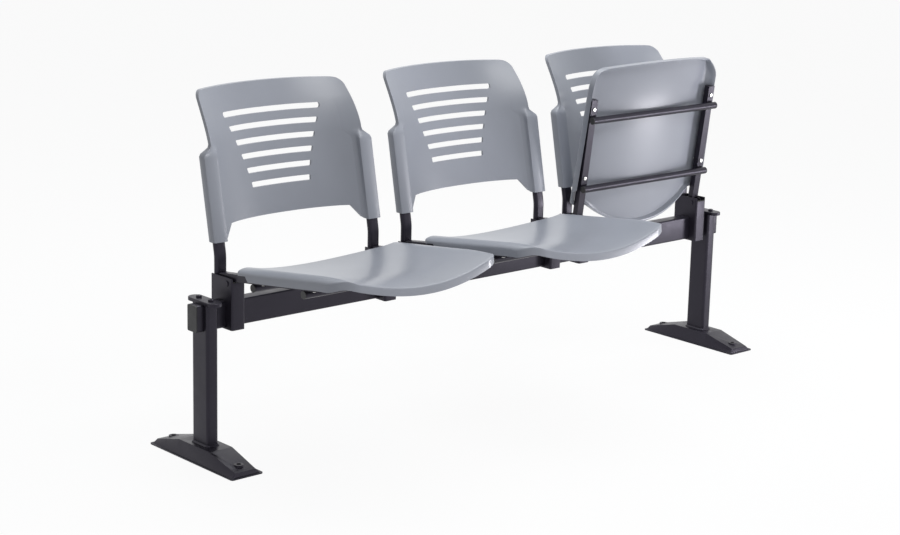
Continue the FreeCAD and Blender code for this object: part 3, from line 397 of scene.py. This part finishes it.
# %% Places of the back's grid points
def back_point(column, row, rear):
    """Place of one grid point: rear is 0 on the front face and 1 on the rear face."""
    side = -1 if column < 0 else 1
    column = abs(column)
    guide = back_rows[row] if row >= LOW_ROWS else lowest_slot_edge
    on_wing = smooth_step(guide, SLEEVE_SHOULDER, SLEEVE_TOP)
    edge = wing_half_width(max(guide, WING_FOOT)) - corner_cut(guide)
    inner = PANEL_EDGE + (edge - WING_STEPS[0] - PANEL_EDGE) * on_wing
    if column <= SLOT_COLUMNS:
        x = slot_end(guide) * column / SLOT_COLUMNS
        x = min(x, inner * column / NARROW_SHARES)
    else:
        start = min(slot_end(guide), inner * SLOT_COLUMNS / NARROW_SHARES)
        x = start + (inner - start) * (column - SLOT_COLUMNS) / MIDDLE_COLUMNS
    near_top = guide > BACK_TOP - FLANGE_WALL
    if column <= SLOT_COLUMNS + MIDDLE_COLUMNS:
        z = back_row_z(row, x)
        depth = FLANGE_DEPTH if near_top else PANEL_SHEET
        return Vector((side * x, back_face_y(x, z) + depth * rear, z))
    step = column - SLOT_COLUMNS - MIDDLE_COLUMNS - 1
    wing_x = edge - WING_STEPS[step]
    wing_depth = FLANGE_DEPTH if near_top or WING_STEPS[step] <= FLANGE_WALL else PANEL_SHEET
    if step < len(FILLET):
        across, rise = FILLET[step]
        sleeve_x = SLEEVE_INNER_X + across
        z = back_row_z(row, min(sleeve_x, SLEEVE_INNER_X - 1.0))
        sleeve_y = back_face_y(sleeve_x, z) + (PANEL_SHEET + rise if rear else -rise)
    else:
        across, depth = SLEEVE_RING[step - len(FILLET)]
        sleeve_x = SLEEVE_X + across
        z = back_row_z(row, SLEEVE_X)
        sleeve_y = lean_y(z) + (-depth if rear else depth)
    x = sleeve_x + (wing_x - sleeve_x) * on_wing
    if on_wing:
        z = back_row_z(row, x)
    wing_y = back_face_y(wing_x, z) + wing_depth * rear
    return Vector((side * x, sleeve_y + (wing_y - sleeve_y) * on_wing, z))

# %% [markdown]
# The grid operator gives a flat sheet with one point for each column and row. Two number layers
# remember which column and row a point has, so that after the extrusion both faces can be put in
# their places with one rule.

# %% Helpers for a numbered grid
def numbered_grid(half_columns, rows):
    """A flat grid whose points know their column and row."""
    bm = bmesh.new()
    column_layer = bm.verts.layers.int.new("column")
    row_layer = bm.verts.layers.int.new("row")
    bmesh.ops.create_grid(bm, x_segments=2 * half_columns, y_segments=rows - 1, size=1.0)
    for vert in bm.verts:
        vert[column_layer] = round(vert.co.x * half_columns)
        vert[row_layer] = round((vert.co.y + 1) / 2 * (rows - 1))
    return bm, column_layer, row_layer


def two_sided(bm, column_layer, row_layer, point):
    """Extrude a numbered grid and move its two faces with point(column, row, rear)."""
    grown = bmesh.ops.extrude_face_region(bm, geom=bm.faces[:], use_keep_orig=True)["geom"]
    rear_verts = {item for item in grown if isinstance(item, bmesh.types.BMVert)}
    for vert in bm.verts:
        rear = 1 if vert in rear_verts else 0
        vert.co = point(vert[column_layer], vert[row_layer], rear) * MM
    bmesh.ops.recalc_face_normals(bm, faces=bm.faces[:])
    return rear_verts

# %% [markdown]
# The slots are cells left out of the flat grid, before it is extruded, so the extrusion also closes
# their walls. The short edges in the corners of each slot are then bevelled round, as a mould has no
# sharp corner there.

# %% Make the back shell once
def cut_slots(bm, column_layer, row_layer):
    """Remove the cells of the slots and return the columns and rows of their corners."""
    first_rows = [LOW_ROWS + ROWS_PER_SLOT * index for index in range(len(slot_rows))]
    gone = []
    for face in bm.faces:
        rows = {vert[row_layer] for vert in face.verts}
        columns = {abs(vert[column_layer]) for vert in face.verts}
        for first in first_rows:
            if min(rows) >= first and max(rows) <= first + 2 and max(columns) <= SLOT_COLUMNS:
                gone.append(face)
    bmesh.ops.delete(bm, geom=gone, context="FACES")
    return {(SLOT_COLUMNS, row) for first in first_rows for row in (first, first + 2)}


bm, column_layer, row_layer = numbered_grid(BACK_HALF_COLUMNS, len(back_rows))
slot_corners = cut_slots(bm, column_layer, row_layer)
rear_verts = two_sided(bm, column_layer, row_layer, back_point)
corner_edges = [edge for edge in bm.edges
                if all((abs(v[column_layer]), v[row_layer]) in slot_corners for v in edge.verts)
                and len([v for v in edge.verts if v in rear_verts]) == 1
                and edge.verts[0][row_layer] == edge.verts[1][row_layer]
                and edge.verts[0][column_layer] == edge.verts[1][column_layer]]
bmesh.ops.bevel(bm, geom=corner_edges, offset=SLOT_CORNER * MM, segments=4, profile=0.5,
                affect="EDGES", material=-1, clamp_overlap=True)
print("slot corners rounded:", len(corner_edges), "faces:", len(bm.faces))
back_mesh = bpy.data.meshes.new("back pattern")
bm.to_mesh(back_mesh)
bm.free()

# %% Place a back at each seat
for seat, x in SEAT_X.items():
    bm = bmesh.new()
    bm.from_mesh(back_mesh)
    bmesh.ops.translate(bm, verts=bm.verts, vec=Vector((x * MM, 0, 0)))
    finish_piece(bm, seat + "_back", [seat + "_seat_back_shell"], smooth_angle=42.0, bevel_mm=1.0)
print("backs placed:", len(SEAT_X))

# %% [markdown]
# ## The seat shell
#
# Seen from above, the seat has a bowed front with round corners, straight sides, and a round tongue
# at the rear that passes between the brackets. It is dished, its sides rise and then roll over, and
# its front edge falls away. The same numbered grid is used, with its rows and columns closer
# together near the rim, so that the rim can turn over in a soft edge.

# %% Sizes of the seat, in millimetres, from the drawing
PIVOT_Y, PIVOT_Z = -21.0, 400.0
DOWN_ANGLE, TIPPED_ANGLE = 7.2, 82.7
TURN = {"left": DOWN_ANGLE, "middle": DOWN_ANGLE, "right": TIPPED_ANGLE}
SEAT_HALF_WIDTH, SEAT_FRONT_HALF_WIDTH = 240.0, 228.0
# The front stands 0.2 back from the drawing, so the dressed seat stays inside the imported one's size.
FRONT_REACH, FRONT_BOW, FRONT_CORNER = 409.8, 20.0, 46.0
SHOULDER_REACH, SHOULDER_CORNER = 39.0, 14.0
LOBE_REACH, LOBE_RADIUS = -27.0, 306.5
SKIRT_DEPTH, SKIRT_WALL, SHEET, RIM_RADIUS = 18.0, 4.5, 5.0, 3.5
RAIL_TOP, RAIL_ROOM = 21.0, 0.6
# Dish: the middle's height, and how far the sides rise above it before they roll over.
DISH_HEIGHT, SIDE_RISE, SIDE_ROLL_WIDTH = 10.5, 34.0, 40.0
REAR_ROLL, REAR_ROLL_REACH, FRONT_ROLL, FRONT_ROLL_REACH = 17.0, 39.0, 29.0, 318.0
# Fall of the front, which is less by this share at the sides.
FRONT_DROP, DROP_START, DROP_LENGTH, DROP_LESS = 17.3, 290.0, 120.0, 0.6
# A fillet fills the inner corner where the tongue's arc meets the shoulders.
TONGUE_FILLET_REACH, TONGUE_FILLET_DEPTH = 12.0, 3.0
print("seat:", 2 * SEAT_HALF_WIDTH, "mm wide,", FRONT_REACH - LOBE_REACH, "mm from front to rear")

# %% Curves of the seat
def seat_height(x, reach):
    """Upper face above the pivot, as on the drawing."""
    across = abs(x) / SEAT_HALF_WIDTH
    fall = max((reach - DROP_START) / DROP_LENGTH, 0.0) ** 2
    drop = FRONT_DROP * fall * (1 - DROP_LESS * across ** 2)
    forward = max(reach - REAR_ROLL_REACH, 0.0)
    roll_depth = REAR_ROLL + (FRONT_ROLL - REAR_ROLL) * forward / (FRONT_ROLL_REACH - REAR_ROLL_REACH)
    inward = SEAT_HALF_WIDTH - SIDE_ROLL_WIDTH
    roll = roll_depth * max((abs(x) - inward) / SIDE_ROLL_WIDTH, 0.0) ** 2
    return DISH_HEIGHT + SIDE_RISE * across ** 2 - roll - drop


def round_corner(distance, radius):
    """How far a round corner or rim stands back, at a distance from where it ends."""
    into = max(radius - distance, 0.0)
    return radius - math.sqrt(max(radius ** 2 - into ** 2, 0.0))


def rear_edge(x):
    """The tongue's arc in the middle, and straight shoulders beside it."""
    lobe = LOBE_REACH + LOBE_RADIUS - math.sqrt(LOBE_RADIUS ** 2 - x ** 2)
    near = max(TONGUE_FILLET_REACH - abs(lobe - SHOULDER_REACH), 0.0) / TONGUE_FILLET_REACH
    return min(lobe, SHOULDER_REACH) - near ** 2 * TONGUE_FILLET_DEPTH


def front_edge(x):
    """The front edge, bowed forward in the middle."""
    return FRONT_REACH - FRONT_BOW * (x / SEAT_FRONT_HALF_WIDTH) ** 2

# %% [markdown]
# The grid's columns lie on a sine and its rows on a cosine, which draws both together towards the
# rim. The underside hangs lower near the rim, as a skirt. At the rear it would run into the rails,
# so it stops just above them there, and only the tongue between them keeps the full skirt.

# %% Places of the seat's grid points
SEAT_HALF_COLUMNS, SEAT_ROWS = 20, 45
SIDE_LENGTH = FRONT_REACH - FRONT_BOW - SHOULDER_REACH
SKIRT_FILLET, REAR_RIM_REACH = 4.0, SHOULDER_REACH + 40.0
# Across, the limit over the rails fades out between these two, and NO_LIMIT more is none.
TONGUE_X, RAIL_X, NO_LIMIT = 170.0, 200.0, 40.0


def skirt_depth(x, reach, height):
    if reach >= REAR_RIM_REACH:
        return SKIRT_DEPTH
    above_rail = max(height - RAIL_TOP - RAIL_ROOM, SHEET)
    return min(SKIRT_DEPTH, above_rail + NO_LIMIT * (1 - smooth_step(abs(x), TONGUE_X, RAIL_X)))


def seat_point(column, row, under):
    """Place of one grid point: under is 0 on the upper face and 1 on the underside."""
    share = (1 - math.cos(math.pi * row / (SEAT_ROWS - 1))) / 2
    half = SEAT_HALF_WIDTH + (SEAT_FRONT_HALF_WIDTH - SEAT_HALF_WIDTH) * share
    half -= round_corner((1 - share) * SIDE_LENGTH, FRONT_CORNER)
    half -= round_corner(share * SIDE_LENGTH, SHOULDER_CORNER)
    x = half * math.sin(math.pi / 2 * column / SEAT_HALF_COLUMNS)
    rear, front = rear_edge(x), front_edge(x)
    reach = rear + (front - rear) * share
    to_rim = min(half - abs(x), reach - rear, front - reach)
    height = seat_height(x, reach)
    if not under:
        return Vector((x, -reach, height - round_corner(to_rim, RIM_RADIUS)))
    on_skirt = 1 - smooth_step(to_rim, SKIRT_WALL, SKIRT_WALL + SKIRT_FILLET)
    thickness = SHEET + (skirt_depth(x, reach, height) - SHEET) * on_skirt
    return Vector((x, -reach, height - thickness))

# %% Make the seat once and place it at each hinge
bm, column_layer, row_layer = numbered_grid(SEAT_HALF_COLUMNS, SEAT_ROWS)
two_sided(bm, column_layer, row_layer, seat_point)
seat_mesh = bpy.data.meshes.new("seat pattern")
bm.to_mesh(seat_mesh)
bm.free()


def seat_place(seat):
    """The turn and shift from the drawing of a seat to its place in the row."""
    place = Matrix.Translation(Vector((SEAT_X[seat], PIVOT_Y, PIVOT_Z)) * MM)
    return place @ Matrix.Rotation(math.radians(-TURN[seat]), 4, "X")


for seat in SEAT_X:
    bm = bmesh.new()
    bm.from_mesh(seat_mesh)
    bmesh.ops.transform(bm, matrix=seat_place(seat), verts=bm.verts)
    finish_piece(bm, seat + "_seat_top", [seat + "_seat_shell"], smooth_angle=50.0, bevel_mm=0.8)
print("seat faces:", len(seat_mesh.polygons))

# %% [markdown]
# ## Floor, light and camera
#
# The photograph is a product picture on white. More lamps would make the surroundings white too, but
# they would wash out the bench. So the floor and the world have an even white that only the camera
# and the mirror image in glossy surfaces see, and the floor keeps a share of its own shading, which
# holds the soft shadow.

# %% Floor
FLOOR_HALF_WIDTH, FLOOR_WHITE_SHARE = 14.0, 0.93


def seen_directly(tree):
    """1 for rays from the camera or a mirror image, and 0 for the light that falls on things."""
    path = tree.nodes.new("ShaderNodeLightPath")
    seen = tree.nodes.new("ShaderNodeMath")
    seen.operation = "MAXIMUM"
    tree.links.new(path.outputs["Is Camera Ray"], seen.inputs[0])
    tree.links.new(path.outputs["Is Glossy Ray"], seen.inputs[1])
    return seen.outputs["Value"]


floor_finish, shader = start_finish("pale floor", (0.9, 0.9, 0.9), metallic=0.0, roughness=0.9)
nodes, links = floor_finish.node_tree.nodes, floor_finish.node_tree.links
white = nodes.new("ShaderNodeEmission")
white.inputs["Strength"].default_value = 1.0
share = nodes.new("ShaderNodeMath")
share.operation = "MULTIPLY"
share.inputs[1].default_value = FLOOR_WHITE_SHARE
mix = nodes.new("ShaderNodeMixShader")
links.new(seen_directly(floor_finish.node_tree), share.inputs[0])
links.new(share.outputs["Value"], mix.inputs["Fac"])
links.new(shader.outputs["BSDF"], mix.inputs[1])
links.new(white.outputs["Emission"], mix.inputs[2])
links.new(mix.outputs["Shader"], nodes["Material Output"].inputs["Surface"])

bm = bmesh.new()
bmesh.ops.create_grid(bm, x_segments=1, y_segments=1, size=FLOOR_HALF_WIDTH)
floor_mesh = bpy.data.meshes.new("floor")
bm.to_mesh(floor_mesh)
bm.free()
floor_mesh.materials.append(floor_finish)
floor = bpy.data.objects.new("floor", floor_mesh)
bpy.context.scene.collection.objects.link(floor)
print("floor:", 2 * FLOOR_HALF_WIDTH, "m square")

# %% World
ROOM_COLOUR, ROOM_STRENGTH = (0.96, 0.97, 1.0), 0.3

world = bpy.data.worlds.new("soft room")
bpy.context.scene.world = world
world.use_nodes = True
nodes, links = world.node_tree.nodes, world.node_tree.links
room = nodes["Background"]
room.inputs["Color"].default_value = (*ROOM_COLOUR, 1)
room.inputs["Strength"].default_value = ROOM_STRENGTH
backdrop = nodes.new("ShaderNodeBackground")
backdrop.inputs["Color"].default_value = (1, 1, 1, 1)
backdrop.inputs["Strength"].default_value = 1.0
mix = nodes.new("ShaderNodeMixShader")
links.new(seen_directly(world.node_tree), mix.inputs["Fac"])
links.new(room.outputs["Background"], mix.inputs[1])
links.new(backdrop.outputs["Background"], mix.inputs[2])
links.new(mix.outputs["Shader"], nodes["World Output"].inputs["Surface"])
print("room light:", ROOM_STRENGTH)

# %% [markdown]
# Two large soft lamps hang above the bench, one over it and one in front. A small one stands low on
# the right: it is mirrored in the underside of the tipped seat as a bright upright band, and it
# makes the far end of the beam lighter than the near end, as in the photograph.

# %% Lamps
def soft_lamp(name, place, aim, size, power, colour):
    data = bpy.data.lights.new(name, "AREA")
    data.shape = "RECTANGLE"
    data.size, data.size_y = size
    data.energy = power
    data.color = colour
    lamp = bpy.data.objects.new(name, data)
    lamp.location = place
    lamp.rotation_euler = (Vector(aim) - Vector(place)).to_track_quat("-Z", "Y").to_euler()
    bpy.context.scene.collection.objects.link(lamp)


soft_lamp("overhead", place=(0.6, 0.3, 3.0), aim=(0, 0, 0.4), size=(3.0, 2.0), power=62,
          colour=(0.95, 0.985, 1.0))
soft_lamp("front high", place=(0.1, -2.1, 2.9), aim=(0, 0, 0.7), size=(1.6, 1.0), power=30,
          colour=(1, 1, 1))
soft_lamp("low right", place=(2.0, -1.45, 0.30), aim=(0.6, 0, 0.5), size=(0.50, 0.58), power=22,
          colour=(0.97, 0.95, 1.0))
print("lamps:", len(bpy.data.lights))

# %% [markdown]
# The camera was found by fitting the drawing to the photograph: its place in metres, the way it looks
# (turned to the right of straight back, tilted down, and rolled a little), and a long lens, given
# here as the focal length in pixels of a picture 900 pixels wide.

# %% Camera
CAMERA_AT = (-3.3059, -3.5720, 1.4986)
YAW, PITCH, ROLL = math.radians(41.9006), math.radians(13.6176), math.radians(1.4353)
FOCAL_PIXELS, PICTURE_WIDTH, SENSOR = 2036.98, 900, 36.0

look = Vector((math.sin(YAW) * math.cos(PITCH), math.cos(YAW) * math.cos(PITCH), -math.sin(PITCH)))
level = Vector((math.cos(YAW), -math.sin(YAW), 0.0))
above = level.cross(look)
right = level * math.cos(ROLL) + above * math.sin(ROLL)
up = above * math.cos(ROLL) - level * math.sin(ROLL)
camera_data = bpy.data.cameras.new("camera")
camera_data.sensor_width = SENSOR
camera_data.lens = FOCAL_PIXELS * SENSOR / PICTURE_WIDTH
camera = bpy.data.objects.new("camera", camera_data)
turn = Matrix((right, up, -look)).transposed().to_4x4()
camera.matrix_world = Matrix.Translation(Vector(CAMERA_AT)) @ turn
bpy.context.scene.collection.objects.link(camera)
bpy.context.scene.camera = camera
bpy.context.scene.view_settings.view_transform = "Standard"
print("lens:", round(camera_data.lens, 2), "mm")
